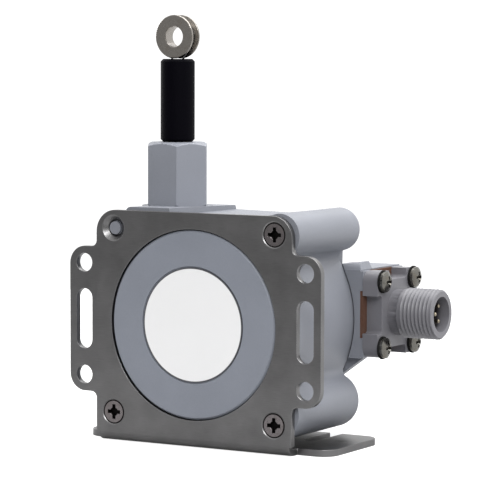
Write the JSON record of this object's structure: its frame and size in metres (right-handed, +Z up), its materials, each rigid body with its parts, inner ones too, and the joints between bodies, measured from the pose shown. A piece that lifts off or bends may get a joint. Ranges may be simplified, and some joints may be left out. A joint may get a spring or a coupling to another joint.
{
  "type": "draw wire encoder",
  "caption": "Compact draw wire encoder: a moulded housing with a spring-loaded wire drum on a bent sheet bracket, wire end with eyelet, and a round threaded receptacle.",
  "frame": {"origin": "on the drum axis, in the bracket's front plane, which is the centre of the four round ear holes", "axes": "+X to the right seen from the label, towards the receptacle; +Y back from the bracket's front plane, along the drum axis; +Z up, along the wire as it is pulled out"},
  "size_m": [0.0786, 0.0509, 0.1007],
  "materials": {
    "bracket_steel": "dark satin stainless sheet with bright edges",
    "zinc_screws": "zinc plated",
    "housing_plastic": "satin moulded",
    "cap_plastic": "satin moulded",
    "seal_rubber": "matt",
    "label_film": "smooth printed film, left bare",
    "bush_bronze": "sintered",
    "wiper_felt": "pressed felt",
    "bearing_steel": "ground",
    "ball_steel": "polished",
    "case_steel": "pressed sheet",
    "spring_steel": "rolled strip",
    "board_green": "solder mask",
    "black_plastic": "moulded",
    "header_plastic": "moulded",
    "lead_insulation": "insulated leads",
    "plug_metal": "satin nickel plating",
    "gasket_rubber": "matt red-brown",
    "contact_gold": "gold plated",
    "drum_plastic": "acetal",
    "grub_steel": "blackened",
    "disc_glass": "clear with graduations",
    "wire_steel": "coated strand",
    "sleeve_rubber": "matt black",
    "crimp_metal": "tinned",
    "eyelet_metal": "worn nickel plating"
  },
  "bodies": {
    "housing": {"mounting_bracket": "bracket_steel", "bracket_screws": "zinc_screws", "main_housing": "housing_plastic", "front_cap": "cap_plastic", "cap_seal": "seal_rubber", "label_disc": "label_film", "wire_outlet": "housing_plastic", "guide_bush": "bush_bronze", "wiper_felt": "wiper_felt", "front_bearing": "bearing_steel", "rear_bearing": "bearing_steel", "bearing_balls": "ball_steel", "spring_case": "case_steel", "spring_cover": "case_steel", "power_spring": "spring_steel", "encoder_cover": "housing_plastic", "cover_seal": "seal_rubber", "cover_screws": "zinc_screws", "encoder_board": "board_green", "board_screws": "zinc_screws", "read_head": "black_plastic", "board_header": "header_plastic", "connector_leads": "lead_insulation", "connector_shell": "plug_metal", "connector_gasket": "gasket_rubber", "connector_insert": "black_plastic", "connector_pins": "contact_gold", "connector_screws": "zinc_screws", "connector_washers": "seal_rubber"},
    "drum": {"drum_shaft": "bearing_steel", "bearing_inner_rings": "bearing_steel", "retaining_ring": "grub_steel", "wire_drum": "drum_plastic", "drum_grub_screw": "grub_steel", "wound_wire": "wire_steel", "spring_arbor": "bearing_steel", "disc_hub": "bearing_steel", "encoder_disc": "disc_glass"},
    "wire_end": {"draw_wire": "wire_steel", "stop_sleeve": "sleeve_rubber", "crimp_ferrule": "crimp_metal", "wire_loop": "wire_steel", "wire_eyelet": "eyelet_metal"}
  },
  "joints": [
    {"name": "wire_pull", "type": "slide", "parent": "housing", "child": "wire_end", "axis": [0, 0, 1], "range_m": [0, 0.12], "stiffness_N_per_m": 8, "springref_m": -0.25, "deforming": ["draw_wire"]},
    {"name": "drum_spin", "type": "hinge", "parent": "housing", "child": "drum", "pos_m": [0, 0.019, 0], "axis": [0, 1, 0], "range_deg": [0, 436]}
  ],
  "couplings": [
    {"joint": "drum_spin", "follows": "wire_pull", "rad_per_m": 63.291}
  ]
}
